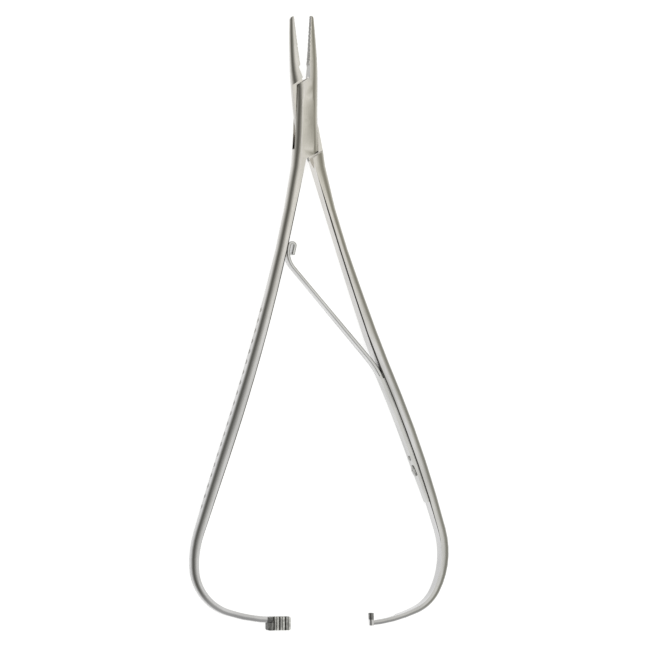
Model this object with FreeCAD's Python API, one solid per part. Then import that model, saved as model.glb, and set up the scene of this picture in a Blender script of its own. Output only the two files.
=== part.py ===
import FreeCAD, Part
import math
import os

# Surgical needle holder: two crossing levers in a box joint, a leaf spring that
# opens the handles, and a ratchet at the handle ends. Millimetres.
# +Y points to the jaws, +Z up from the resting plane, origin on the pivot axis.
# The model is drawn open, as the spring holds it.

V = FreeCAD.Vector

# Whole instrument
JAW_TIP_Y = 29.3
OPEN_LEFT = 4.75  # angle of the left jaw's face from the centre line, degrees
OPEN_RIGHT = 4.6  # angle of the right jaw's face
CLOSING = OPEN_LEFT + OPEN_RIGHT  # turn of the tongue lever from open to closed
BOX_DEPTH = 6.5
MID = BOX_DEPTH / 2  # height of the middle plane of both levers
FAR = 60.0  # reach of the cutting prisms in height

# Box joint
TONGUE = 2.4  # thickness of the tongue
SLOT = 2.56  # height of the slot between the cheeks
SLOT_CLEARANCE = 0.1  # between tongue and slot webs when closed
SHOULDER_CLEARANCE = 0.15  # between shoulders and cheek edges when closed
CHEEK_TOP = ((-2.5, 10.19), (0.0, 11.46))  # two points on the cheeks' upper edge
CHEEK_BOTTOM = ((-1.19, -10.33), (3.22, -8.5))  # and on their lower edge
CROTCH_ROUND = 1.3  # between the cheeks' lower edge and the handle
SIDE_MOUTH = 7.5  # the slot's side mouths end this far from the pivot
TONGUE_RIGHT = ((-1.03, 12.77), (3.31, -1.0))  # straight sides of the tongue
TONGUE_LEFT = ((0.64, -11.0), (-2.516, -1.0))
TONGUE_FOOT = -11.0  # lower end of the tongue's left side
TONGUE_BEND = -7.2  # above this the left side leans out to the flank
TONGUE_FLANK = (-2.85, -2.9)
PIN_RADIUS = 1.2
PIN_CLEARANCE = 0.03

# Handles: inner faces as tangent arcs (length, turn in degrees), from the joint down
BOX_ROOT, BOX_HEADING = (-1.33, -12.75), 12.5
BOX_ARCS = [(83.1, 8.3), (22.1, -0.2), (9.5, -20.6), (15.2, -70.0), (18.4, -23.5)]
TONGUE_ROOT, TONGUE_HEADING = (1.87, -13.23), 14.8
TONGUE_ARCS = [(47.8, 2.4), (9.9, 5.0), (48.7, -7.4), (16.6, -42.0), (7.2, -39.2), (14.3, -21.0)]
# each handle by distance along its inner face: (distance, thickness, depth, height of rounding)
BOX_PROFILE = [
    (0, 2.95, 5.9, 2.2), (8, 2.75, 5.4, 2.0), (18, 2.55, 5.2, 1.9), (34, 2.6, 5.6, 1.5),
    (50, 2.7, 6.0, 1.4), (80, 2.8, 5.9, 1.4), (100, 2.4, 5.4, 1.3), (108, 2.15, 4.9, 1.25),
    (122, 1.85, 4.6, 1.3), (150, 1.7, 4.6, 1.3),
]
TONGUE_PROFILE = [
    (0, 3.35, 5.9, 2.2), (8, 2.8, 5.4, 2.0), (18, 2.55, 5.2, 1.9), (30, 2.65, 5.5, 1.55),
    (50, 3.15, 6.1, 1.4), (66, 3.05, 6.2, 1.4), (80, 3.0, 6.0, 1.4), (100, 2.65, 5.4, 1.3),
    (108, 2.5, 4.9, 1.25), (120, 2.2, 4.6, 1.3), (132, 1.65, 4.6, 1.3), (150, 1.3, 4.6, 1.3),
]
BACK_ROUND = 0.64  # rounding of the outer edges, of the thickness
OVERSHOOT = 1.3  # how far a blank reaches past an inner face before it is cut
EDGE_BREAK = 0.3  # chamfer of the inner edges
EDGE_BREAK_SPAN = (4.0, 96.0, 112.0)  # full from the first to the second, gone at the third
STRAIGHT_SPACING = 12.0  # between sections
BEND_STEP = 6.5  # degrees between sections in a bend
UPPER_SPACING = 2.6

# Upper part of each lever, by distance from above the jaw's tip:
# (distance, left side, right side, depth, rounding across, rounding in height)
JAW_END = 30.0
BOX_UPPER = [
    (0, 1.1, 3.2, 1.7, 0.55, 0.55), (5, 0.75, 3.5, 2.1, 0.8, 0.75), (10, 0.1, 3.75, 2.7, 1.1, 1.0),
    (14, -1.0, 3.85, 3.6, 1.4, 1.3), (17.5, -2.3, 3.75, 4.9, 1.7, 1.75), (21, -2.5, 3.6, 6.1, 1.95, 2.2),
    (25, -2.75, 3.42, 6.66, 2.05, 2.5), (30, -3.1, 3.28, 6.66, 2.1, 2.6),
    (35, -3.45, 3.3, 6.66, 2.05, 2.6), (39, -3.85, 3.25, 6.4, 1.9, 2.4),
]
TONGUE_UPPER = [
    (0, -3.45, -1.2, 1.7, 0.65, 0.55), (5, -3.7, -0.8, 2.1, 0.85, 0.75), (10, -3.8, -0.3, 2.7, 1.1, 1.0),
    (14, -3.8, 0.4, 3.6, 1.4, 1.3), (17.5, -3.72, 1.2, 4.9, 1.7, 1.75), (21, -3.55, 2.0, 6.1, 1.95, 2.2),
    (25, -3.3, 2.8, 6.66, 2.05, 2.5), (30, -2.95, 3.3, 6.66, 2.1, 2.6),
    (33, -2.85, 3.72, 6.66, 2.1, 2.6), (36, -2.7, 4.2, 6.6, 2.0, 2.5), (39, -1.2, 4.7, 6.4, 1.9, 2.4),
]
FACE_STEP = (15.8, 15.2)  # the jaws' faces step back between these heights
RIGHT_STEP = 0.2  # by this much
LEFT_STEP = 0.5
TIP_ROUND = 0.9  # outer corners of the jaw tips

# Grip ribs on the outer backs
RIB_PITCH = 3.0
RIB_COUNT = 20
RIB_START = 41.0  # first groove, along the inner face
GROOVE_RADIUS = 1.0
GROOVE_DEPTH = 0.33
GROOVE_LENGTH = 2.6

# Crossed teeth on the jaws' faces
TEETH_PITCH = 1.15
TEETH_DEPTH = 0.17
TEETH_COUNT = 13
TEETH_START = 16.4
TEETH_HALF = 3.4  # half their length

# Ratchet block on the box lever's end and hook on the tongue lever's end
BLOCK_X = (-15.2, -8.7)
BLOCK_Y = (-140.45, -136.6)
BLOCK_Z = (MID - 2.55, MID + 0.45)
BLOCK_ROUND = 0.55
BLOCK_TURN = -1.8  # degrees
NOTCH_PITCH = 1.64
NOTCH_DEPTH = 0.8
NOTCH_COUNT = 3
HOOK_X = (13.5, 14.1)
HOOK_Y = (-140.1, -136.65)
HOOK_Z = (MID - 0.05, MID + 2.6)
LAP_END = 20.5  # the hook's arm is relieved underneath up to here
LAP_Z = BLOCK_Z[1] + 0.15

# Leaf spring: the foot lies on the tongue lever's inner face, the free part is a chain of
# (length, turn) pieces along its middle line, from the foot up to the curled end
FOOT_END = 98.0
FOOT_TAPER = 86.5
FOOT_START = 61.0
LEAF_WIDTH = 4.4
LEAF_FOOT = 0.95
LEAF_FEATHER = 0.45
LEAF_TIP = 0.78
LEAF_ARCS = [(5.97, 17.1), (33.68, 0.0), (6.6, -57.0), (0.2, 0.0), (2.5, -176.0), (2.5, 0.0)]

# Screw and locating pin of the spring's foot
SCREW_AT = 88.5
SCREW_RADIUS = 1.0
SCREW_HEAD_RADIUS = 1.65
SCREW_HEAD = 0.5
SCREW_LENGTH = 1.6
SCREW_SLOT = (0.5, 0.3)
PEG_AT = 84.8
PEG_RADIUS = 0.75
PEG_LENGTH = 1.5
PEG_PROUD = 0.35


def turned(point, degrees):
    """A plane point turned about the pivot, counter-clockwise."""
    c, s = math.cos(math.radians(degrees)), math.sin(math.radians(degrees))
    return (point[0] * c - point[1] * s, point[0] * s + point[1] * c)


def turned_line(line, degrees):
    return (turned(line[0], degrees), turned(line[1], degrees))


def at_y(line, y):
    (x0, y0), (x1, y1) = line
    return (x0 + (x1 - x0) * (y - y0) / (y1 - y0), y)


def at_x(line, x):
    (x0, y0), (x1, y1) = line
    return (x, y0 + (y1 - y0) * (x - x0) / (x1 - x0))


def shifted(line, distance):
    """A line moved to its left by a distance."""
    (x0, y0), (x1, y1) = line
    length = math.hypot(x1 - x0, y1 - y0)
    dx, dy = -(y1 - y0) / length * distance, (x1 - x0) / length * distance
    return ((x0 + dx, y0 + dy), (x1 + dx, y1 + dy))


def meeting(first, second):
    """Where two lines meet."""
    (x1, y1), (x2, y2) = first
    (x3, y3), (x4, y4) = second
    d = (x1 - x2) * (y3 - y4) - (y1 - y2) * (x3 - x4)
    a, b = x1 * y2 - y1 * x2, x3 * y4 - y3 * x4
    return ((a * (x3 - x4) - (x1 - x2) * b) / d, (a * (y3 - y4) - (y1 - y2) * b) / d)


class Handle:
    """The inner face of a handle: a chain of tangent arcs going down from the joint."""

    def __init__(self, root, heading, arcs, side):
        self.side = side
        self.starts = []
        self.length = 0.0
        x, y = root
        for length, turn in arcs:
            self.starts.append((self.length, x, y, heading, length, turn))
            x, y = self._along(x, y, heading, length, turn, length)
            heading += turn
            self.length += length

    def _along(self, x, y, heading, length, turn, d):
        h0 = math.radians(heading)
        k = math.radians(turn) / length
        if abs(k) < 1e-6:
            return x + self.side * math.sin(h0) * d, y - math.cos(h0) * d
        h1 = h0 + k * d
        return x + self.side * (math.cos(h0) - math.cos(h1)) / k, y - (math.sin(h1) - math.sin(h0)) / k

    def _piece(self, s):
        return [a for a in self.starts if a[0] <= max(s, 0.0) + 1e-9][-1]

    def at(self, s, out=0.0):
        """The point at distance s, moved outward by out."""
        s0, x, y, heading, length, turn = self._piece(s)
        px, py = self._along(x, y, heading, length, turn, s - s0)
        nx, ny = self.outward(s)
        return px + nx * out, py + ny * out

    def heading(self, s):
        s0, _, _, heading, length, turn = self._piece(s)
        return math.radians(heading + turn * (s - s0) / length)

    def outward(self, s):
        h = self.heading(s)
        return self.side * math.cos(h), math.sin(h)

    def edges(self, s0, s1, z):
        """The arcs of the inner face between two distances, at height z."""
        cuts = [s0] + [a[0] for a in self.starts if s0 + 1e-6 < a[0] < s1 - 1e-6] + [s1]
        points = [V(*self.at(s), z) for s in cuts]
        mids = [V(*self.at((a + b) / 2), z) for a, b in zip(cuts, cuts[1:])]
        return [Part.Arc(p, m, q).toShape() for p, m, q in zip(points, mids, points[1:])]


BOX_HANDLE = Handle(BOX_ROOT, BOX_HEADING, BOX_ARCS, -1)
TONGUE_HANDLE = Handle(TONGUE_ROOT, TONGUE_HEADING, TONGUE_ARCS, 1)
RIGHT_FACE = ((0.0, 0.0), (math.tan(math.radians(OPEN_RIGHT)), 1.0))
LEFT_FACE = ((0.0, 0.0), (-math.tan(math.radians(OPEN_LEFT)), 1.0))


def section(a, b, depth, round_a, round_b):
    """A closed section between plane points a and b, with its four corners rounded.

    round_a and round_b are (across, in height)."""
    w = math.hypot(b[0] - a[0], b[1] - a[1])
    ux, uy = (b[0] - a[0]) / w, (b[1] - a[1]) / w
    h = depth / 2
    (ra, za), (rb, zb) = round_a, round_b

    def place(across, height):
        return V(a[0] + ux * across, a[1] + uy * across, MID + height)

    def half(side):
        """The lower (-1) or upper (+1) half outline, from a to b."""
        left, right = place(ra, side * h), place(w - rb, side * h)
        return [
            quarter(place(0, side * (h - za)), place(ra * 0.3, side * (h - za * 0.3)), left),
            Part.makeLine(left, right),
            quarter(right, place(w - rb * 0.3, side * (h - zb * 0.3)), place(w, side * (h - zb))),
        ]

    upright_a = Part.makeLine(place(0, h - za), place(0, za - h))
    upright_b = Part.makeLine(place(w, zb - h), place(w, h - zb))
    return Part.Wire(half(-1) + [upright_b] + half(1)[::-1] + [upright_a])


def quarter(start, middle, end):
    """A rounded corner through three points."""
    curve = Part.BezierCurve()
    curve.setPoles([start, middle * 2 - (start + end) * 0.5, end])
    return curve.toShape()


def smooth_row(rows, position):
    """A row of values at a position, on smooth curves through all the rows."""
    i = 0
    while i < len(rows) - 2 and position > rows[i + 1][0]:
        i += 1
    low, high = rows[i], rows[i + 1]
    before, after = rows[max(i - 1, 0)], rows[min(i + 2, len(rows) - 1)]
    span = high[0] - low[0]
    t = (position - low[0]) / span
    values = []
    for p0, p1, p2, p3 in zip(before, low, high, after):
        slope_low = (p2 - p0) / (high[0] - before[0]) * span
        slope_high = (p3 - p1) / (after[0] - low[0]) * span
        values.append((2 * t ** 3 - 3 * t * t + 1) * p1 + (t ** 3 - 2 * t * t + t) * slope_low
                      + (3 * t * t - 2 * t ** 3) * p2 + (t ** 3 - t * t) * slope_high)
    return values


def upper_sections(rows):
    """Sections square to the instrument's axis, through a jaw and the joint."""
    start, end = rows[0][0], rows[-1][0]
    count = round((end - start) / UPPER_SPACING)
    wires = []
    for i in range(count + 1):
        distance, left, right, depth, across, height = smooth_row(rows, start + (end - start) * i / count)
        y = JAW_END - distance
        wires.append(section((left, y), (right, y), depth, (across, height), (across, height)))
    return wires


def stations(handle):
    """Distances along a handle, closer where it bends."""
    places = [0.0]
    for s0, _, _, _, length, turn in handle.starts:
        count = max(math.ceil(length / STRAIGHT_SPACING), math.ceil(abs(turn) / BEND_STEP))
        places += [s0 + length * (i + 1) / count for i in range(count)]
    return places


def handle_sections(handle, rows):
    """Sections square to a handle, from its root to its end."""
    wires = []
    for s in stations(handle):
        _, thickness, depth, height = smooth_row(rows, s)
        outer, inner = handle.at(s, thickness), handle.at(s, -OVERSHOOT)
        outer_round, inner_round = (thickness * BACK_ROUND, height), (0.4, 0.4)
        if handle.side < 0:
            wires.append(section(outer, inner, depth, outer_round, inner_round))
        else:
            wires.append(section(inner, outer, depth, inner_round, outer_round))
    return wires


def prism(points, z0=-FAR, z1=FAR):
    """An upright prism on a polygon of plane points."""
    wire = Part.makePolygon([V(x, y, z0) for x, y in points + points[:1]])
    return Part.Face(wire).extrude(V(0, 0, z1 - z0))


def edge_prism(edges, z0=-FAR, z1=FAR):
    wire = Part.Wire(Part.__sortEdges__(edges))
    return Part.Face(wire).extrude(V(0, 0, z1 - z0))


def inner_cutter(handle, points, round_last=0.0):
    """What lies inside a handle: bounded by its inner face and a run of plane points.

    The corner at the last of the points can be rounded."""
    chain = handle.edges(0, handle.length, -FAR)
    start, end = V(*handle.at(0), -FAR), V(*handle.at(handle.length), -FAR)
    loop = [end] + [V(x, y, -FAR) for x, y in points]
    edges = [Part.makeLine(p, q) for p, q in zip(loop, loop[1:])]
    if round_last:
        corner = loop[-1]
        to_start, to_end = (start - corner).normalize(), (loop[-2] - corner).normalize()
        half = to_start.getAngle(to_end) / 2
        reach = round_last / math.tan(half)
        centre = corner + (to_start + to_end).normalize() * (round_last / math.sin(half))
        first, last = corner + to_end * reach, corner + to_start * reach
        middle = centre + (corner - centre).normalize() * round_last
        edges[-1] = Part.makeLine(loop[-2], first)
        edges += [Part.Arc(first, middle, last).toShape(), Part.makeLine(last, start)]
    else:
        edges.append(Part.makeLine(loop[-1], start))
    return edge_prism(chain + edges)


def blank(upper, handle, rows):
    """A lever before its joint is cut."""
    body = Part.makeLoft(upper_sections(upper) + handle_sections(handle, rows), True, True)
    slab = Part.makeBox(200, 400, BOX_DEPTH, V(-100, -250, 0))
    return body.common(slab)


def edge_breakers(handle, profile):
    """Cutters of the chamfers on an inner face's two long edges, fading out at both ends."""
    first, full, last = EDGE_BREAK_SPAN
    reach = 0.3  # of the cutter beyond the chamfer
    cutters = []
    for side in (-1, 1):
        wires = []
        for s in stations(handle):
            if s > last:
                break
            size = EDGE_BREAK * max(0.0, min(1.0, s / first, (last - s) / (last - full)))
            edge = smooth_row(profile, s)[2] / 2
            corners = [(-reach, edge - size - reach), (size + reach, edge + reach), (-reach, edge + reach)]
            points = [V(*handle.at(s, out), MID + side * height) for out, height in corners]
            wires.append(Part.makePolygon(points + points[:1]))
        cutters.append(Part.makeLoft(wires, True, True))
    return cutters


def root_line(handle):
    """The straight line that continues a handle's inner face upward from its root."""
    x, y = handle.at(0)
    h = handle.heading(0)
    return ((x, y), (x - handle.side * math.sin(h), y + math.cos(h)))


def grooves(handle, profile):
    """Round-bottomed cutters of the grip ribs, across the middle of a handle's back."""
    cutters = []
    for i in range(RIB_COUNT):
        s = RIB_START + i * RIB_PITCH
        out = smooth_row(profile, s)[1] + GROOVE_RADIUS - GROOVE_DEPTH
        base = V(*handle.at(s, out), MID - GROOVE_LENGTH / 2)
        cutters.append(Part.makeCylinder(GROOVE_RADIUS, GROOVE_LENGTH, base))
    return cutters


def one_solid(shape):
    """The single solid of a result, without its seams."""
    solids = sorted(shape.Solids, key=lambda s: s.Volume)
    return solids[-1]


def jaw_teeth(line, side):
    """V-shaped cutters of the crossed teeth on a jaw's face; side is the way into the jaw."""
    (x0, y0), (x1, y1) = line
    length = math.hypot(x1 - x0, y1 - y0)
    along = V((x1 - x0) / length, (y1 - y0) / length, 0)
    inward = V(along.y, -along.x, 0) * side
    up = V(0, 0, 1)
    cutters = []
    for slope in (-1, 1):
        run = (along + up * slope).normalize()
        across = (along - up * slope).normalize()
        for i in range(TEETH_COUNT):
            mid = along * (TEETH_START + i * TEETH_PITCH) + V(0, 0, MID)
            a = mid - across * TEETH_DEPTH * 1.3 - inward * TEETH_DEPTH * 0.3 - run * TEETH_HALF
            b = mid + inward * TEETH_DEPTH - run * TEETH_HALF
            c = mid + across * TEETH_DEPTH * 1.3 - inward * TEETH_DEPTH * 0.3 - run * TEETH_HALF
            face = Part.Face(Part.makePolygon([a, b, c, a]))
            cutters.append(face.extrude(run * TEETH_HALF * 2))
    return cutters


def face_points(face, step, root):
    """A jaw's face as plane points, from its root line up past the tip."""
    high, low = FACE_STEP
    (x0, y0), (x1, y1) = face
    back = ((x0 + step, y0), (x1 + step, y1))
    return [meeting(root, back), at_y(back, low), at_y(face, high), at_y(face, 40.0)]


def tip_corner(x, side):
    """Cutter that rounds the outer corner of a jaw's tip; side is the way outward."""
    centre = V(x - side * TIP_ROUND, JAW_TIP_Y - TIP_ROUND, 0)
    corner = Part.makeBox(2, 2, BOX_DEPTH, centre - V(0 if side > 0 else 2, 0, 0))
    return corner.cut(Part.makeCylinder(TIP_ROUND, BOX_DEPTH, centre))


def make_box_lever():
    body = blank(BOX_UPPER, BOX_HANDLE, BOX_PROFILE)
    # the jaw's face, down to the cheeks' upper edge
    jaw_side = face_points(RIGHT_FACE, RIGHT_STEP, CHEEK_TOP)
    jaw_side += [(-30.0, 40.0), at_x(CHEEK_TOP, -30.0)]
    # the handle's inner face, up to the cheeks' lower edge
    root = root_line(BOX_HANDLE)
    end_y = BOX_HANDLE.at(BOX_HANDLE.length)[1]
    inside = [(30.0, end_y), at_x(CHEEK_BOTTOM, 30.0), meeting(CHEEK_BOTTOM, root)]
    # the slot: two webs tilted halfway, open to the sides near the pivot
    web_right = shifted(turned_line(TONGUE_RIGHT, -CLOSING), SLOT_CLEARANCE)
    web_left = shifted(turned_line(TONGUE_LEFT, -CLOSING), SLOT_CLEARANCE)
    crotch = meeting(web_left, root)
    slot = [
        meeting(web_right, RIGHT_FACE), at_y(web_right, SIDE_MOUTH), (30.0, SIDE_MOUTH), (30.0, -25.0),
        crotch, at_y(web_left, -SIDE_MOUTH), (-30.0, -SIDE_MOUTH), (-30.0, 25.0),
    ]
    body = body.cut(prism(jaw_side))
    body = body.cut(inner_cutter(BOX_HANDLE, inside, CROTCH_ROUND))
    body = body.cut(edge_breakers(BOX_HANDLE, BOX_PROFILE))
    body = body.cut(prism(slot, MID - SLOT / 2, MID + SLOT / 2))
    body = body.cut(Part.makeBox(60, 60, 20, V(-30, JAW_TIP_Y, -5)))
    body = body.cut(tip_corner(BOX_UPPER[0][2], 1))
    body = body.cut(Part.makeBox(60, 60, 20, V(BLOCK_X[0] + 1.1, -160, -5)))
    return one_solid(body)


def make_tongue_lever():
    body = blank(TONGUE_UPPER, TONGUE_HANDLE, TONGUE_PROFILE)
    # the jaw's face and the tongue's right side
    right = face_points(LEFT_FACE, -LEFT_STEP, TONGUE_RIGHT)[::-1]
    right += [at_y(TONGUE_RIGHT, -6.0), (30.0, -6.0), (30.0, 40.0)]
    # the tongue's left side and the handle's inner face
    root = TONGUE_HANDLE.at(0)
    end_y = TONGUE_HANDLE.at(TONGUE_HANDLE.length)[1]
    left = [
        (-30.0, end_y), (-30.0, TONGUE_FLANK[1]), TONGUE_FLANK,
        at_y(TONGUE_LEFT, TONGUE_BEND), at_y(TONGUE_LEFT, TONGUE_FOOT),
    ]
    # what is cut away above and below the tongue, between its two shoulders
    top = shifted(turned_line(CHEEK_TOP, CLOSING), SHOULDER_CLEARANCE)
    bottom = shifted(turned_line(CHEEK_BOTTOM, CLOSING), -SHOULDER_CLEARANCE)
    shank = root_line(TONGUE_HANDLE)
    pocket = [
        at_x(top, -30.0), at_x(top, 30.0), at_x(bottom, 30.0), meeting(bottom, shank), root,
        (-30.0, root[1]),
    ]
    body = body.cut(prism(right))
    body = body.cut(inner_cutter(TONGUE_HANDLE, left))
    body = body.cut(edge_breakers(TONGUE_HANDLE, TONGUE_PROFILE))
    body = body.cut(prism(pocket, MID + TONGUE / 2, FAR))
    body = body.cut(prism(pocket, -FAR, MID - TONGUE / 2))
    body = body.cut(Part.makeBox(60, 60, 20, V(-30, JAW_TIP_Y, -5)))
    body = body.cut(tip_corner(TONGUE_UPPER[0][1], -1))
    body = body.cut(Part.makeBox(60, 60, 20, V(HOOK_X[1] - 60, -160, -5)))
    lap = [(0.0, -5.0), (0.0, LAP_Z), (LAP_END, LAP_Z), (LAP_END + 2.5, -1.0), (LAP_END + 2.5, -5.0)]
    body = body.cut(along_z(lap, -160, -125))
    return one_solid(body)


def along_z(points, y0, y1):
    """A prism along Y on a polygon of (x, z) points."""
    wire = Part.makePolygon([V(x, y0, z) for x, z in points + points[:1]])
    return Part.Face(wire).extrude(V(0, y1 - y0, 0))


def make_block():
    (x0, x1), (y0, y1), (z0, z1) = BLOCK_X, BLOCK_Y, BLOCK_Z
    block = Part.makeBox(x1 - x0, y1 - y0, z1 - z0, V(x0, y0, z0))
    corners = [e for e in block.Edges if abs(e.Vertexes[0].Z - e.Vertexes[1].Z) > 1.0]
    block = block.makeFillet(BLOCK_ROUND, corners)
    for i in range(NOTCH_COUNT):
        # the steep wall of each notch faces the lever, the ramp rises toward it
        wall = x1 - 0.55 - i * NOTCH_PITCH
        low, high = z1 - NOTCH_DEPTH, z1 + 0.2
        notch = [(wall, high), (wall - 0.12, low), (wall - 0.5, low), (wall - 1.35, high)]
        block = block.cut(along_z(notch, y0 - 1, y1 + 1))
    block.rotate(V((x0 + x1) / 2, (y0 + y1) / 2, 0), V(0, 0, 1), BLOCK_TURN)
    return block


def make_hook():
    (x0, x1), (y0, y1), (z0, z1) = HOOK_X, HOOK_Y, HOOK_Z
    outline = [(x0, z1 - 0.3), (x0, z0 + 0.7), (x1 - 0.45, z0), (x1, z0), (x1 + 0.4, LAP_Z),
               (x1 + 0.4, z1), (x0 + 0.3, z1)]
    return along_z(outline, y0, y1)


def normal_frame(s, offset=0.0):
    """Place and outward direction on the tongue lever's inner face."""
    x, y = TONGUE_HANDLE.at(s, offset)
    nx, ny = TONGUE_HANDLE.outward(s)
    return V(x, y, MID), V(nx, ny, 0)


def make_leaf():
    z0 = MID - LEAF_WIDTH / 2
    handle = TONGUE_HANDLE
    x, y = handle.at(FOOT_START, -LEAF_FOOT / 2)
    free = Handle((x, y), 180 + math.degrees(handle.heading(FOOT_START)), LEAF_ARCS, 1)

    def foot_inner(s):
        thick = LEAF_FOOT
        if s > FOOT_TAPER:
            thick += (LEAF_FEATHER - LEAF_FOOT) * (s - FOOT_TAPER) / (FOOT_END - FOOT_TAPER)
        return V(*handle.at(s, -thick), z0)

    def half(s):
        straight_end = LEAF_ARCS[0][0] + LEAF_ARCS[1][0]
        return (LEAF_FOOT + (LEAF_TIP - LEAF_FOOT) * min(1.0, s / straight_end)) / 2

    def arc(place, a, b):
        return Part.Arc(place(a), place((a + b) / 2), place(b)).toShape()

    edges = handle.edges(FOOT_START, FOOT_END, z0)
    edges += [arc(foot_inner, FOOT_START, FOOT_TAPER), arc(foot_inner, FOOT_TAPER, FOOT_END)]
    edges.append(Part.makeLine(V(*handle.at(FOOT_END), z0), foot_inner(FOOT_END)))
    stations = [a[0] for a in free.starts] + [free.length]
    for sign in (-1, 1):
        def side(s, sign=sign):
            return V(*free.at(s, sign * half(s)), z0)
        for (a, b), (_, turn) in zip(zip(stations, stations[1:]), LEAF_ARCS):
            if turn:
                edges.append(arc(side, a, b))
            else:
                edges.append(Part.makeLine(side(a), side(b)))
    tips = [V(*free.at(free.length, sign * half(free.length)), z0) for sign in (-1, 1)]
    edges.append(Part.makeLine(tips[0], tips[1]))
    wire = Part.Wire(Part.__sortEdges__(edges))
    return Part.Face(wire).extrude(V(0, 0, LEAF_WIDTH))


def make_screw():
    origin, out = normal_frame(SCREW_AT)
    under, top = LEAF_FOOT, LEAF_FOOT + SCREW_HEAD
    shank = Part.makeCylinder(SCREW_RADIUS, SCREW_LENGTH + under + 0.1, origin + out * SCREW_LENGTH, out * -1)
    # domed head: a short cylinder under a shallow spherical cap
    rim = 0.2
    cap = SCREW_HEAD - rim
    ball = (SCREW_HEAD_RADIUS ** 2 + cap ** 2) / (2 * cap)
    head = Part.makeCylinder(SCREW_HEAD_RADIUS, SCREW_HEAD, origin - out * under, out * -1)
    head = head.common(Part.makeSphere(ball, origin - out * (top - ball)))
    width, depth = SCREW_SLOT
    slot = Part.makeBox(8, width, 2, V(-4, -width / 2, 0))
    turn = FreeCAD.Rotation(V(0, 0, 1), out * -1).multiply(FreeCAD.Rotation(V(0, 0, 1), 35))
    slot.Placement = FreeCAD.Placement(origin - out * (top - depth), turn)
    return shank.fuse(head).cut(slot)


def make_peg():
    origin, out = normal_frame(PEG_AT)
    length = PEG_LENGTH + LEAF_FOOT + PEG_PROUD
    peg = Part.makeCylinder(PEG_RADIUS, length, origin + out * PEG_LENGTH, out * -1)
    top = LEAF_FOOT + PEG_PROUD
    return peg.common(Part.makeSphere(1.6, origin - out * (top - 1.6)).fuse(
        Part.makeCylinder(3, 2.6, origin + out * 2, out * -1)))


def bore(node, s, radius, depth):
    origin, out = normal_frame(s)
    return node.cut(Part.makeCylinder(radius, depth + 4, origin + out * depth, out * -1))


def main():
    os.makedirs("parts", exist_ok=True)
    pin_from, pin_up = V(0, 0, 0), V(0, 0, 1)
    box = make_box_lever().fuse(make_block()).removeSplitter()
    box = box.cut(grooves(BOX_HANDLE, BOX_PROFILE)).cut(jaw_teeth(RIGHT_FACE, 1))
    box = one_solid(box.cut(Part.makeCylinder(PIN_RADIUS, BOX_DEPTH, pin_from, pin_up)))

    tongue = make_tongue_lever().fuse(make_hook()).removeSplitter()
    tongue = tongue.cut(grooves(TONGUE_HANDLE, TONGUE_PROFILE)).cut(jaw_teeth(LEFT_FACE, -1))
    tongue = tongue.cut(Part.makeCylinder(PIN_RADIUS + PIN_CLEARANCE, BOX_DEPTH, pin_from, pin_up))
    tongue = bore(bore(tongue, SCREW_AT, SCREW_RADIUS, SCREW_LENGTH), PEG_AT, PEG_RADIUS, PEG_LENGTH)

    leaf = make_leaf()
    leaf = bore(bore(leaf, SCREW_AT, SCREW_RADIUS, 1.0), PEG_AT, PEG_RADIUS, 1.0)
    screw, peg = make_screw(), make_peg()
    nodes = {
        "box_lever": box,
        "tongue_lever": one_solid(tongue),
        "pivot_rivet": Part.makeCylinder(PIN_RADIUS, BOX_DEPTH, pin_from, pin_up),
        "leaf_spring": one_solid(leaf.cut(screw)),
        "spring_screw": one_solid(screw),
        "spring_locating_pin": one_solid(peg),
    }
    for name, shape in nodes.items():
        print(name, len(shape.Solids), shape.isValid(), round(shape.Volume, 2), len(shape.Faces))
        shape.exportStep("parts/" + name + ".step")


main()
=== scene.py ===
import math

import bmesh
import bpy
import numpy as np
from mathutils import Matrix, Vector


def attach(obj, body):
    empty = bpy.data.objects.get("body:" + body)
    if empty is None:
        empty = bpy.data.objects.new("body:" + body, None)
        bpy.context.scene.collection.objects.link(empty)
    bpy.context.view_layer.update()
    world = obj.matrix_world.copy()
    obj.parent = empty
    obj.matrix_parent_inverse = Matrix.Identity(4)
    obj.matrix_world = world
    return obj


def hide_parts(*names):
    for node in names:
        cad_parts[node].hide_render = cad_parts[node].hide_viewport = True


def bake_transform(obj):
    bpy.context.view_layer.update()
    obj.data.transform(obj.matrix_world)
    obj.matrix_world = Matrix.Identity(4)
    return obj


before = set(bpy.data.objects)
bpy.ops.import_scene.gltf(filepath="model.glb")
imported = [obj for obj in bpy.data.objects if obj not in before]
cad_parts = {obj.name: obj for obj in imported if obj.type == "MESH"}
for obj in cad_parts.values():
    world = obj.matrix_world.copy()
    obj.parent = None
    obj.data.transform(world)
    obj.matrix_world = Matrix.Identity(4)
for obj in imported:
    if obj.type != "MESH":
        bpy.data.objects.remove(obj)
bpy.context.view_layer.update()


# Picture geometry: where the pivot is in the 650 x 650 picture, and its scale
PICTURE_WIDTH = 650
PIVOT_PIXEL = (305.2, 121.8)
METRES_PER_PIXEL = 0.277e-3
PIVOT_POINT = Vector((0.0, 0.0, 0.00325))
CAMERA_TURN = math.radians(14.0)  # to the left of straight above
CAMERA_ROLL = math.radians(1.8)
CAMERA_DISTANCE = 1.6
CAMERA_CLIP = (0.05, 20.0)
SENSOR_WIDTH = 36.0  # in millimetres, as the lens is

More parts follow.
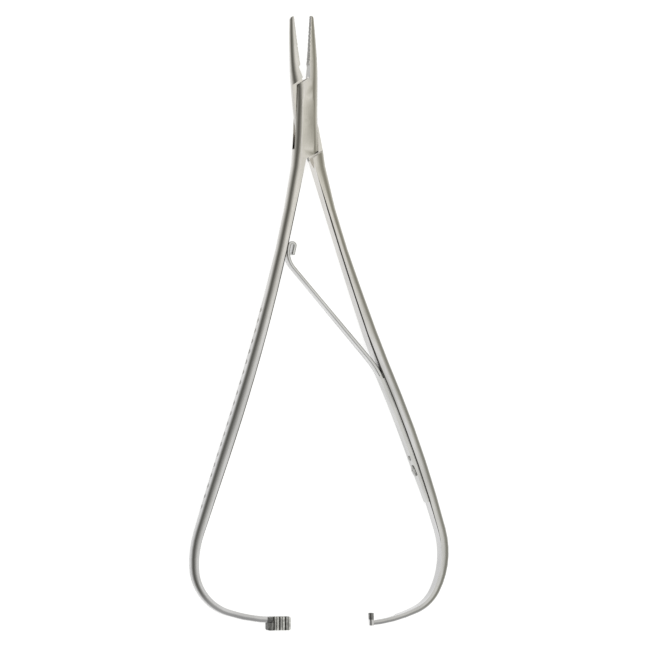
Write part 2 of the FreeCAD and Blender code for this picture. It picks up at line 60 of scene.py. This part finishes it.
# Soft light all round, by the angle from overhead in degrees (left is negative): brightness
# and how much of its blue is missing. Bright overhead and below, dark cards at the sides. The
# rounded levels were set by comparing the steel's tones with those of the photograph.
LIGHT_ROUND = [
    (-180, 0.65, 0.00), (-150, 0.50, 0.00), (-120, 0.25, 0.05), (-95, 0.10, 0.10),
    (-70, 0.10, 0.10), (-45, 0.20, 0.05), (-20, 0.50, 0.05), (0, 0.65, 0.00),
    (20, 0.60, 0.05), (50, 0.25, 0.15), (75, 0.20, 0.15), (110, 0.40, 0.10),
    (145, 0.60, 0.00), (180, 0.65, 0.00),
]
GREEN_LOSS = 0.1  # how much green is missing for each part of missing blue
LIGHT_STRENGTH = 1.62
LIGHT_END_GREY = 0.32  # toward the instrument's two ends
LIGHT_END_SPAN = (0.5, 0.95)  # from side light to end light, by the direction's y

# Floor
FLOOR_SIZE = 8.0
FLOOR_GREY = 0.55
FLOOR_ROUGHNESS = 0.9
FLOOR_GLOW = 0.81

# Distances that the materials work at, in metres
SMEAR = 0.006
SMEAR_STRETCH = 2.2
GRAIN_LENGTH = 0.0011
GRAIN_WIDTH = 0.00016
PIT = 0.0005
MOTTLE = (0.0009, 0.0011, 0.0009)
BUMP_DISTANCE = 0.00006

# How strongly the smears, the grain and the pits show
NOISE_SPAN = (0.3, 0.7)
SMEAR_SHADES = (0.93, 1.05)
SMEAR_ROUGHNESS = (0.05, -0.04)
GRAIN_SPAN = (0.35, 0.75)
GRAIN_GREY = (0.42, 0.415, 0.40)
GRAIN_AMOUNT = 0.10
GRAIN_ROUGHNESS = (-0.02, 0.03)
GRAIN_HEIGHT = 0.7
PIT_HEIGHT = 0.3
BUMP_STRENGTH = 0.10

# The forged steel turns warmer toward the jaws and darker in the lower bends: spans in y
WARM_SPAN = (-0.085, -0.012)
BEND_SPAN = (-0.137, -0.115)
BEND_SHADE = 0.89

# Dull cut faces of the ratchet: the block, its notched part and the hook. Their greys are partly
# painted: the block's darkness is in part painted shade of its recess, and the notched part is
# painted lighter, as painted light against the shade in its notches. Each has a span in x
# and in y, and its darkest and palest grey.
RATCHET_DULL_AND_PAINTED_PATCHES = [
    ((-0.0157, -0.0083), (-0.1411, -0.1365), 0.10, 0.24),
    ((-0.0138, -0.0083), (-0.1411, -0.1365), 0.46, 0.76),
    ((0.0128, 0.0146), (-0.1385, -0.1362), 0.16, 0.30),
]
PATCH_EDGE = 0.0002
PATCH_ROUGHNESS = 0.5
PATCH_SPAN = (0.35, 0.65)
PATCH_BLUE = 0.97
PATCH_HEIGHT = 2.0

# Welding and shading of the forged levers
WELD = 2e-6
SHARP = math.radians(34.0)
FLAT = math.cos(math.radians(0.4))
UPRIGHT = math.radians(88.0)
SAME_NORMAL = 0.02
# How far the ground top leans at its left and right edges: y in metres, degrees, degrees. The
# meshes stay flat there, and the leans were fitted to the photograph's shading.
CROWN = {
    "box_lever": [
        (-0.150, 12, 6), (-0.077, 13, 6), (-0.049, 10, 6), (-0.033, 4, 6), (-0.022, 1, 8),
        (-0.012, -5, 15), (0.008, -5, 16), (0.014, 0, 20), (0.030, 6, 22),
    ],
    "tongue_lever": [
        (-0.150, 8, 2), (-0.120, 10, 2), (-0.100, 12, -2), (-0.077, 26, -4), (-0.050, 20, -1),
        (-0.022, 14, 5), (-0.012, 8, 8), (0.0143, 2, 10), (0.0225, 18, 18), (0.030, 20, 20),
    ],
}
# Between these values of y, crisp edges of the top lean too
ARRIS = {"box_lever": (0.0, 0.0), "tongue_lever": (-0.112, -0.026)}
EVEN_STEPS = 6
RELAX_STEPS = 600
# Spacing of the cuts through the flat faces: across the levers, and along them in the box
TOP_SLICE = 0.0025
BOX_SLICE = 0.0006
BOX_CUTS = 8  # on each side of the middle
BOX_SPAN = (-0.016, 0.028)
SPLIT = 1e-6
RIVET_REACH = 0.0025

# Faces with a material of their own, by their place and by parts of their normals
JAW_START = 0.0118  # y where the serrated faces begin
JAW_TILT = 0.6
FACING = 0.3
# The two shoulders of the box joint seen from above, and how near a face counts as part of one;
# these faces get the dark steel of painted shade
SHOULDERS = [((-0.0025, 0.01019), (0.0, 0.01146)), ((-0.00119, -0.01033), (0.00322, -0.0085))]
SHOULDER_REACH = 0.0004
ARRIS_TOP = -0.020  # y below which the handles' inner edges are dark lines of painted shade
ARRIS_END = -0.118  # y below which the edges that face the jaws are too
ARRIS_TILT = (0.35, 0.95)

# Grip grooves: height of their ends, and how much of the cut depth stays after polishing
GROOVE_ENDS = (0.00195, 0.00455)
GROOVE_KEPT = 0.5
LEVEL = 2e-6

# Leaf spring: rounded edges, and the stretch that bends when the handles close
LEAF_EDGE = 0.00022
LEAF_CRISP = math.radians(50.0)
LEAF_FREE = -0.071  # y where the strip leaves the handle
LEAF_BEND_START = Vector((0.0188, -0.0705, 0.00325))
LEAF_BEND_END = Vector((-0.0058, -0.0385, 0.00325))
LEAF_SLICE = 0.0011


class Graph:
    """A material's or the world's nodes, with short ways to add and join them."""

    def __init__(self, owner):
        owner.use_nodes = True
        self.nodes = owner.node_tree.nodes
        self.links = owner.node_tree.links

    def add(self, kind, **values):
        node = self.nodes.new(kind)
        for name, value in values.items():
            setattr(node, name, value)
        return node

    def join(self, source, target):
        self.links.new(source, target)

    def feed(self, socket, value):
        """Sets a number on the socket, or joins an output to it."""
        if isinstance(value, (int, float)):
            socket.default_value = value
        else:
            self.join(value, socket)

    def split(self, vector):
        """The x, y and z of a vector, as the outputs X, Y and Z."""
        node = self.add("ShaderNodeSeparateXYZ")
        self.join(vector, node.inputs[0])
        return node.outputs

    def math(self, operation, first, second=None):
        node = self.add("ShaderNodeMath", operation=operation)
        self.feed(node.inputs[0], first)
        if second is not None:
            self.feed(node.inputs[1], second)
        return node.outputs[0]

    def remap(self, value, span, low=0.0, high=1.0, smooth=True):
        """Maps the span onto low to high, and holds the ends."""
        node = self.add("ShaderNodeMapRange",
                        interpolation_type="SMOOTHSTEP" if smooth else "LINEAR")
        self.join(value, node.inputs["Value"])
        node.inputs["From Min"].default_value = span[0]
        node.inputs["From Max"].default_value = span[1]
        node.inputs["To Min"].default_value = low
        node.inputs["To Max"].default_value = high
        return node.outputs[0]

    def mix(self, factor, first, second, blend="MIX"):
        """Mixes two colours, each an output or three numbers."""
        node = self.add("ShaderNodeMix", data_type="RGBA", blend_type=blend)
        self.feed(node.inputs[0], factor)
        for socket, value in ((node.inputs[6], first), (node.inputs[7], second)):
            if isinstance(value, tuple):
                socket.default_value = (*value, 1.0)
            else:
                self.join(value, socket)
        return node.outputs[2]

    def noise(self, place, size, detail, roughness):
        """Noise whose features measure size = (x, y, z) metres at place."""
        mapping = self.add("ShaderNodeMapping")
        self.join(place, mapping.inputs["Vector"])
        mapping.inputs["Scale"].default_value = tuple(1.0 / length for length in size)
        noise = self.add("ShaderNodeTexNoise")
        self.join(mapping.outputs[0], noise.inputs["Vector"])
        noise.inputs["Scale"].default_value = 1.0
        noise.inputs["Detail"].default_value = detail
        noise.inputs["Roughness"].default_value = roughness
        return noise.outputs["Fac"]


def steel_colour(graph, axes, smear, fine, neutral, warm, grain):
    """The steel's colour with its smears and grain, and warmer toward the jaws."""
    colour = neutral
    shade = graph.remap(smear, NOISE_SPAN, *SMEAR_SHADES)
    if warm:
        colour = graph.mix(graph.remap(axes["Y"], WARM_SPAN), neutral, warm)
        shade = graph.math("MULTIPLY", shade, graph.remap(axes["Y"], BEND_SPAN, BEND_SHADE, 1.0))
    grey = graph.add("ShaderNodeCombineColor")
    for socket in grey.inputs:
        graph.join(shade, socket)
    colour = graph.mix(1.0, colour, grey.outputs[0], "MULTIPLY")
    streak = graph.remap(fine, GRAIN_SPAN, 0.0, GRAIN_AMOUNT * grain)
    return graph.mix(streak, colour, GRAIN_GREY)


def patch_mask(graph, axes, x_span, y_span):
    """1 inside a box seen from above, and 0 outside it."""
    inside = 1.0
    for axis, (start, end) in (("X", x_span), ("Y", y_span)):
        for limit, step in ((start, PATCH_EDGE), (end, -PATCH_EDGE)):
            ramp = graph.remap(axes[axis], (limit - step, limit + step))
            inside = graph.math("MULTIPLY", inside, ramp)
    return inside


def steel(name, neutral, warm=None, roughness=0.18, patches=(), grain=1.0):
    """Satin ground steel: faint smears, fine grain along the length and small pits. The colour
    can turn warmer toward the jaws, and each of the patches is dull and mottled, with a grey that
    is partly painted shade and painted light."""
    material = bpy.data.materials.new(name)
    graph = Graph(material)
    place = graph.add("ShaderNodeTexCoord").outputs["Object"]
    axes = graph.split(place)
    smear = graph.noise(place, (SMEAR, SMEAR * SMEAR_STRETCH, SMEAR), 4.0, 0.55)
    fine = graph.noise(place, (GRAIN_WIDTH, GRAIN_LENGTH, GRAIN_WIDTH), 3.0, 0.6)
    pits = graph.noise(place, (PIT, PIT, PIT), 2.0, 0.5)

    colour = steel_colour(graph, axes, smear, fine, neutral, warm, grain)
    rough = graph.remap(smear, NOISE_SPAN, *(roughness + change for change in SMEAR_ROUGHNESS))
    streaky = graph.remap(fine, NOISE_SPAN, *(change * grain for change in GRAIN_ROUGHNESS))
    rough = graph.math("ADD", rough, streaky)
    height = graph.math("ADD", graph.math("MULTIPLY", fine, GRAIN_HEIGHT),
                        graph.math("MULTIPLY", pits, PIT_HEIGHT))
    if patches:
        mottle = graph.noise(place, MOTTLE, 4.0, 0.65)
    # each patch's grey is partly painted: painted shade on the block, painted light on the notched
    # part
    for x_span, y_span, low, high in patches:
        inside = patch_mask(graph, axes, x_span, y_span)
        patch = graph.mix(graph.remap(mottle, PATCH_SPAN), (low, low, low * PATCH_BLUE),
                          (high, high, high * PATCH_BLUE))
        colour = graph.mix(inside, colour, patch)
        rough = graph.math("MAXIMUM", rough, graph.math("MULTIPLY", inside, PATCH_ROUGHNESS))
        lumps = graph.math("MULTIPLY", graph.math("MULTIPLY", inside, mottle), PATCH_HEIGHT)
        height = graph.math("ADD", height, lumps)

    bump = graph.add("ShaderNodeBump")
    bump.inputs["Strength"].default_value = BUMP_STRENGTH * grain
    bump.inputs["Distance"].default_value = BUMP_DISTANCE
    graph.join(height, bump.inputs["Height"])
    shader = graph.nodes["Principled BSDF"]
    shader.inputs["Metallic"].default_value = 1.0
    graph.join(colour, shader.inputs["Base Color"])
    graph.join(rough, shader.inputs["Roughness"])
    graph.join(bump.outputs[0], shader.inputs["Normal"])
    return material


def floor_material():
    material = bpy.data.materials.new("floor")
    shader = Graph(material).nodes["Principled BSDF"]
    shader.inputs["Base Color"].default_value = (FLOOR_GREY, FLOOR_GREY, FLOOR_GREY, 1.0)
    shader.inputs["Roughness"].default_value = FLOOR_ROUGHNESS
    shader.inputs["Specular IOR Level"].default_value = 0.0
    shader.inputs["Emission Color"].default_value = (1.0, 1.0, 1.0, 1.0)
    shader.inputs["Emission Strength"].default_value = FLOOR_GLOW
    return material


def add_floor():
    """Pale floor. It isn't seen in the steel's reflections: the light from below stands for it."""
    bpy.ops.mesh.primitive_plane_add(size=FLOOR_SIZE, location=(0.0, 0.0, 0.0))
    floor = bpy.context.object
    floor.name = "floor"
    floor.data.materials.append(floor_material())
    floor.visible_glossy = False


def fill_ramp(ramp):
    """Sets the colour ramp to the light's rows, from -180 to 180 degrees."""
    elements = ramp.elements
    while len(elements) > 1:
        elements.remove(elements[-1])
    for number, (degrees, value, missing) in enumerate(LIGHT_ROUND):
        at = (degrees + 180) / 360
        if number == 0:
            element = elements[0]
            element.position = at
        else:
            element = elements.new(at)
        element.color = (value, value * (1 - GREEN_LOSS * missing), value * (1 - missing), 1.0)


def add_light():
    """Soft light from all round, graded by its angle about the instrument's length."""
    world = bpy.data.worlds.new("studio")
    bpy.context.scene.world = world
    graph = Graph(world)
    axes = graph.split(graph.add("ShaderNodeTexCoord").outputs["Generated"])
    angle = graph.math("ARCTAN2", axes["X"], axes["Z"])
    ramp = graph.add("ShaderNodeValToRGB")
    graph.join(graph.remap(angle, (-math.pi, math.pi), smooth=False), ramp.inputs[0])
    fill_ramp(ramp.color_ramp)
    toward_ends = graph.remap(graph.math("ABSOLUTE", axes["Y"]), LIGHT_END_SPAN)
    colour = graph.mix(toward_ends, ramp.outputs[0], (LIGHT_END_GREY,) * 3)
    background = graph.nodes["Background"]
    graph.join(colour, background.inputs["Color"])
    background.inputs["Strength"].default_value = LIGHT_STRENGTH
    bpy.context.scene.view_settings.view_transform = "Standard"


def add_camera():
    """Camera at the photograph's angle, which puts the pivot at its place in the picture."""
    right = Vector((math.cos(CAMERA_TURN), 0.0, math.sin(CAMERA_TURN)))
    up = Vector((0.0, 1.0, 0.0))
    back = right.cross(up)
    image_right = right * math.cos(CAMERA_ROLL) - up * math.sin(CAMERA_ROLL)
    image_up = right * math.sin(CAMERA_ROLL) + up * math.cos(CAMERA_ROLL)
    across = PICTURE_WIDTH / 2 - PIVOT_PIXEL[0]
    along = PIVOT_PIXEL[1] - PICTURE_WIDTH / 2
    aim = PIVOT_POINT + (image_right * across + image_up * along) * METRES_PER_PIXEL
    camera = bpy.data.cameras.new("camera")
    camera.sensor_width = SENSOR_WIDTH
    camera.lens = SENSOR_WIDTH * CAMERA_DISTANCE / (PICTURE_WIDTH * METRES_PER_PIXEL)
    camera.clip_start, camera.clip_end = CAMERA_CLIP
    holder = bpy.data.objects.new("camera", camera)
    bpy.context.scene.collection.objects.link(holder)
    turned_to = Matrix((image_right, image_up, back)).transposed().to_4x4()
    holder.matrix_world = Matrix.Translation(aim + back * CAMERA_DISTANCE) @ turned_to
    bpy.context.scene.camera = holder


def dress(name, material):
    """Gives a CAD node its material."""
    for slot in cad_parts[name].material_slots:
        slot.material = material


def welded_copy(name, node_name, material):
    """A copy of a CAD node's mesh with its faces joined, so that it shades as one surface."""
    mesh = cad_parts[node_name].data.copy()
    made = bpy.data.objects.new(name, mesh)
    bpy.context.scene.collection.objects.link(made)
    work = bmesh.new()
    work.from_mesh(mesh)
    bmesh.ops.remove_doubles(work, verts=work.verts, dist=WELD)
    for edge in work.edges:
        edge.smooth = len(edge.link_faces) == 2 and edge.calc_face_angle(0.0) < SHARP
    for face in work.faces:
        face.smooth = True
        face.material_index = 0
    work.to_mesh(mesh)
    work.free()
    if "custom_normal" in mesh.attributes:
        mesh.attributes.remove(mesh.attributes["custom_normal"])
    mesh.materials.clear()
    mesh.materials.append(material)
    return made


def crown_at(rows, y, across):
    """Lean of the ground top at y, in radians, for an edge that faces across (-1 to 1)."""
    left, right = rows[0][1:]
    if y >= rows[-1][0]:
        left, right = rows[-1][1:]
    for (y0, left0, right0), (y1, left1, right1) in zip(rows, rows[1:]):
        if y0 <= y < y1:
            share = (y - y0) / (y1 - y0)
            left = left0 + (left1 - left0) * share
            right = right0 + (right1 - right0) * share
    return math.radians((left + right) / 2 + (right - left) / 2 * across)


def face_sides(mesh):
    """1 for each flat face of the top, -1 for each of the bottom, and 0 for the others."""
    sides = [0] * len(mesh.polygons)
    for face in mesh.polygons:
        if abs(face.normal.z) > FLAT:
            sides[face.index] = 1 if face.normal.z > 0 else -1
    return sides


def rim_directions(mesh, sides, arris):
    """Which way the rims of the flat faces look at each of their points, and which points of a
    rim are neighbours. Crisp edges count only between the two values of y in arris."""
    faces_of = {}
    for face in mesh.polygons:
        for key in face.edge_keys:
            faces_of.setdefault(key, []).append(face.index)
    outward = {}
    beside = {}
    for edge in mesh.edges:
        pair = faces_of.get(edge.key, [])
        middle = sum(mesh.vertices[vertex].co.y for vertex in edge.vertices) / 2
        if len(pair) != 2 or edge.use_edge_sharp and not arris[0] < middle < arris[1]:
            continue
        for flat, other in (pair, pair[::-1]):
            if sides[flat] and not sides[other]:
                normal = mesh.polygons[other].normal
                away = Vector((normal.x, normal.y)).normalized()
                one, two = ((vertex, sides[flat]) for vertex in edge.key)
                for key, neighbour in ((one, two), (two, one)):
                    outward[key] = outward.get(key, Vector((0.0, 0.0))) + away
                    beside.setdefault(key, []).append(neighbour)
    return outward, beside


def rim_leans(mesh, sides, rows, arris):
    """Sideways lean of the normal at the rims of the flat faces, evened out along them."""
    outward, beside = rim_directions(mesh, sides, arris)
    leans = {}
    for (vertex, side), away in outward.items():
        if away.length > 1e-6:
            away.normalize()
            y = mesh.vertices[vertex].co.y
            leans[(vertex, side)] = away * math.tan(crown_at(rows, y, away.x))
    for step in range(EVEN_STEPS):
        evened = {}
        for key, lean in leans.items():
            others = [leans[other] for other in beside[key] if other in leans]
            total = sum(others, Vector((0.0, 0.0)))
            evened[key] = lean * 0.5 + total * (0.5 / max(1, len(others)))
        leans = evened
    return leans


def spread_leans(mesh, sides, leans):
    """Fills in the lean at the other points of the flat faces, evenly between the rims."""
    near = {}
    for face in mesh.polygons:
        side = sides[face.index]
        if not side:
            continue
        for a, b in face.edge_keys:
            length = (mesh.vertices[a].co - mesh.vertices[b].co).length + 1e-7
            near[((a, side), (b, side))] = 1.0 / length
    keys = sorted({key for pair in near for key in pair})
    index = {key: number for number, key in enumerate(keys)}
    one = np.array([index[a] for a, b in near])
    two = np.array([index[b] for a, b in near])
    share = np.array(list(near.values()))
    values = np.zeros((len(keys), 2))
    fixed = np.zeros(len(keys), bool)
    for key, lean in leans.items():
        values[index[key]] = lean
        fixed[index[key]] = True
    weight = np.bincount(one, share, len(keys)) + np.bincount(two, share, len(keys))
    for step in range(RELAX_STEPS):
        for axis in (0, 1):
            total = np.bincount(one, share * values[two, axis], len(keys))
            total += np.bincount(two, share * values[one, axis], len(keys))
            values[~fixed, axis] = (total / weight)[~fixed]
    return {key: Vector(values[number]) for key, number in index.items()}


def rounded_lean(rows, y, normal):
    """Lean of a normal on a rounded edge, which takes up where the domed top leaves off. A
    level or upright face has none."""
    sideways = Vector((normal.x, normal.y))
    tilt = math.atan2(sideways.length, abs(normal.z))
    if sideways.length < 1e-3 or tilt > UPRIGHT:
        return None
    sideways.normalize()
    start = crown_at(rows, y, sideways.x)
    return sideways * math.tan(start + tilt * (1 - start / (math.pi / 2)))


def crown(made, rows, arris):
    """Leans the normals so that the ground faces shade as very slightly domed. Returns the
    lean at each of their points, by (x, y, z, side)."""
    mesh = made.data
    sides = face_sides(mesh)
    leans = rim_leans(mesh, sides, rows, arris)
    values = spread_leans(mesh, sides, leans)
    normals = [corner.vector.copy() for corner in mesh.corner_normals]
    corners = [(loop, mesh.loops[loop].vertex_index, sides[face.index])
               for face in mesh.polygons for loop in face.loop_indices]
    flat_normal = {}
    for loop, vertex, side in corners:
        if side:
            flat_normal.setdefault((vertex, side), normals[loop])
    leaned = list(normals)
    for loop, vertex, side in corners:
        normal = normals[loop]
        own_side = side or (1 if normal.z > 0 else -1)
        key = (vertex, own_side)
        if side:
            lean = values[key]
        elif key in leans and (normal - flat_normal[key]).length < SAME_NORMAL:
            lean = leans[key]
        else:
            lean = rounded_lean(rows, mesh.vertices[vertex].co.y, normal)
        if lean is not None:
            leaned[loop] = Vector((lean.x, lean.y, own_side)).normalized()
    mesh.normals_split_custom_set(leaned)
    return {(*mesh.vertices[vertex].co, side): lean for (vertex, side), lean in values.items()}


def match_crown(made, domes):
    """Gives the rivet's flush ends the lean of the ground face around them."""
    mesh = made.data
    normals = [corner.vector.copy() for corner in mesh.corner_normals]
    for face in mesh.polygons:
        if abs(face.normal.z) < FLAT:
            continue
        side = 1 if face.normal.z > 0 else -1
        around = [place for place in domes if place[3] == side]
        for loop in face.loop_indices:
            at = mesh.vertices[mesh.loops[loop].vertex_index].co
            nearest = min(around, key=lambda place: (Vector(place[:3]) - at).length)
            normals[loop] = Vector((domes[nearest].x, domes[nearest].y, side)).normalized()
    mesh.normals_split_custom_set(normals)


def slice_flats(made):
    """Cuts the flat tops and bottoms into small pieces, so that the doming can vary over them."""
    work = bmesh.new()
    work.from_mesh(made.data)
    low = min(vertex.co.y for vertex in work.verts)
    high = max(vertex.co.y for vertex in work.verts)
    cuts = []
    for number in range(1, int((high - low) / TOP_SLICE)):
        cuts.append((Vector((0.0, low + number * TOP_SLICE, 0.0)), Vector((0.0, 1.0, 0.0)), None))
    for number in range(-BOX_CUTS, BOX_CUTS + 1):
        cuts.append((Vector((number * BOX_SLICE, 0.0, 0.0)), Vector((1.0, 0.0, 0.0)), BOX_SPAN))
    for point, normal, span in cuts:
        faces = [face for face in work.faces if abs(face.normal.z) > FLAT and
                 (span is None or span[0] < face.calc_center_median().y < span[1])]
        edges = list(dict.fromkeys(edge for face in faces for edge in face.edges))
        verts = list(dict.fromkeys(vertex for face in faces for vertex in face.verts))
        bmesh.ops.bisect_plane(work, geom=verts + edges + faces, plane_co=point,
                               plane_no=normal, dist=SPLIT)
    work.to_mesh(made.data)
    work.free()


def take_group(left):
    """Takes one group of joined faces out of the set."""
    open_faces = [left.pop()]
    group = set(open_faces)
    while open_faces:
        for edge in open_faces.pop().edges:
            for other in left.intersection(edge.link_faces):
                left.discard(other)
                group.add(other)
                open_faces.append(other)
    return group


def soften_grooves(made):
    """Makes the grip grooves shallower: each end is a lens, drawn in toward its chord."""
    work = bmesh.new()
    work.from_mesh(made.data)
    left = {face for face in work.faces if any(
        all(abs(vertex.co.z - z) < LEVEL for vertex in face.verts) for z in GROOVE_ENDS)}
    while left:
        points = sorted({vertex for face in take_group(left) for vertex in face.verts},
                        key=lambda vertex: vertex.index)
        a, b = max(((one, two) for one in points for two in points),
                   key=lambda pair: (pair[0].co - pair[1].co).length)
        start = a.co.copy()
        chord = (b.co - start).normalized()
        for point in points:
            foot = start + chord * (point.co - start).dot(chord)
            point.co = foot + (point.co - foot) * GROOVE_KEPT
    work.to_mesh(made.data)
    work.free()


def near_shoulder(point):
    for start, end in SHOULDERS:
        a = Vector(start)
        b = Vector(end)
        share = max(0.0, min(1.0, (point - a).dot(b - a) / (b - a).length_squared))
        if (point - a.lerp(b, share)).length < SHOULDER_REACH:
            return True
    return False


def mark_faces(made, side, biting, darker):
    """The serrated biting face of the jaw on that side gets its own material, and the faces of
    the box joint's shoulders and the broken inner edge of the handle get a darker one, which is
    painted shade."""
    mesh = made.data
    mesh.materials.append(biting)
    mesh.materials.append(darker)
    for face in mesh.polygons:
        place = face.center
        normal = face.normal
        tilt = abs(normal.z)
        inward = normal.x * side > FACING or (place.y < ARRIS_END and normal.y > FACING)
        if place.y > JAW_START and tilt < JAW_TILT and normal.x * side < -FACING:
            face.material_index = 1
        # painted shade: first the joint's shoulders, then the broken inner edges of the handle
        elif tilt < ARRIS_TILT[1] and near_shoulder(Vector((place.x, place.y))):
            face.material_index = 2
        elif ARRIS_TILT[0] < tilt < ARRIS_TILT[1] and place.y < ARRIS_TOP and inward:
            face.material_index = 2


def add_lever(node_name, body, side):
    """A forged lever, and the lean of its ground faces by place."""
    lever = welded_copy(node_name + "_forging", node_name, forged)
    soften_grooves(lever)
    slice_flats(lever)
    mark_faces(lever, side, serrated, shaded)
    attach(lever, body)
    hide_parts(node_name)
    return crown(lever, CROWN[node_name], ARRIS[node_name])


def add_rivet(leans):
    """The flush rivet, shaded as the box around it."""
    rivet = welded_copy("flush_rivet", "pivot_rivet", forged)
    match_crown(rivet, {place: lean for place, lean in leans.items()
                        if math.hypot(place[0], place[1]) < RIVET_REACH})
    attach(rivet, "box_body")
    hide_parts("pivot_rivet")


def add_leaf():
    """The leaf spring with rounded strip edges and enough slices to bend smoothly."""
    leaf = welded_copy("leaf_strip", "leaf_spring", strip)
    work = bmesh.new()
    work.from_mesh(leaf.data)
    edges = [edge for edge in work.edges if edge.calc_face_angle(0.0) > LEAF_CRISP
             and max(vertex.co.y for vertex in edge.verts) > LEAF_FREE]
    bmesh.ops.bevel(work, geom=edges, offset=LEAF_EDGE, segments=3, profile=0.5,
                    affect="EDGES", clamp_overlap=True)
    chord = LEAF_BEND_END - LEAF_BEND_START
    count = int(chord.length / LEAF_SLICE)
    for number in range(count + 1):
        bmesh.ops.bisect_plane(work, geom=work.verts[:] + work.edges[:] + work.faces[:],
                               plane_co=LEAF_BEND_START + chord * (number / count),
                               plane_no=chord.normalized(), dist=SPLIT)
    for face in work.faces:
        face.smooth = True
    for edge in work.edges:
        edge.smooth = edge.calc_face_angle(0.0) < SHARP
    work.to_mesh(leaf.data)
    work.free()
    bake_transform(leaf)
    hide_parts("leaf_spring")


forged = steel("satin_steel", (0.623, 0.62, 0.618), warm=(0.67, 0.647, 0.603),
               patches=RATCHET_DULL_AND_PAINTED_PATCHES)
strip = steel("spring_steel", (0.6, 0.6, 0.59), roughness=0.2, grain=0.6)
turned = steel("turned_steel", (0.6, 0.6, 0.585), roughness=0.3, grain=0.5)
serrated = steel("serrated_steel", (0.50, 0.49, 0.47), roughness=0.34, grain=1.4)
# dark steel that paints shade on the box joint's shoulders and the handles' broken inner edges
shaded = steel("painted_shade_steel", (0.24, 0.235, 0.225), roughness=0.34, grain=1.0)

for cad_node, cad_material in (("box_lever", forged), ("tongue_lever", forged),
                               ("pivot_rivet", forged), ("leaf_spring", strip),
                               ("spring_screw", turned), ("spring_locating_pin", turned)):
    dress(cad_node, cad_material)

box_leans = add_lever("box_lever", "box_body", 1)
add_lever("tongue_lever", "tongue_body", -1)
add_rivet(box_leans)
add_leaf()
add_floor()
add_light()
add_camera()
